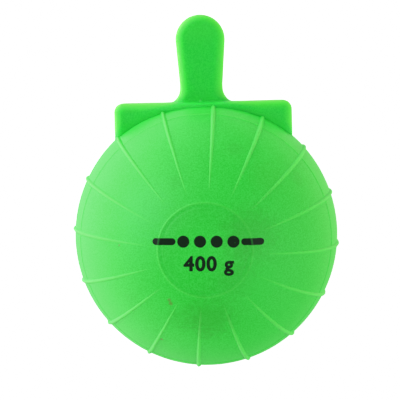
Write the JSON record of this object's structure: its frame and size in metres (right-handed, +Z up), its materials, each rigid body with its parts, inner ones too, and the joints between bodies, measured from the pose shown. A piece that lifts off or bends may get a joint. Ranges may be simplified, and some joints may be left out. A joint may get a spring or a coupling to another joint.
{
  "type": "knobbed throwing ball",
  "caption": "Soft hollow throwing ball with pole-to-pole grip ribs, a cross bar and a finger tongue, weighted inside and closed by a bonded plug.",
  "frame": {"origin": "middle of the flat at the rear pole, which the ball lies on; the plug's face is flush there", "axes": "+Z up through both poles, +Y towards the finger tongue's tip, +X along the grip bar"},
  "size_m": [0.101, 0.1339, 0.0944],
  "materials": {
    "soft_skin": "satin",
    "grip_plastic": "satin",
    "plug_plastic": "satin",
    "granulate": "matte"
  },
  "bodies": {
    "ball": {"ball_skin": "soft_skin", "grip_bar": "grip_plastic", "fill_plug": "plug_plastic"},
    "tongue": {"finger_tongue": "grip_plastic"},
    "fill": {"granulate_fill": "granulate"}
  },
  "joints": [
    {"name": "tongue_flex", "type": "hinge", "parent": "ball", "child": "tongue", "pos_m": [0, 0.0575, 0.0472], "axis": [1, 0, 0], "range_deg": [-35, 35], "stiffness_Nm_per_rad": 0.3},
    {"name": "fill_shift", "type": "hinge", "parent": "ball", "child": "fill", "pos_m": [0, 0, 0.0472], "axis": [1, 0, 0], "continuous": true}
  ]
}
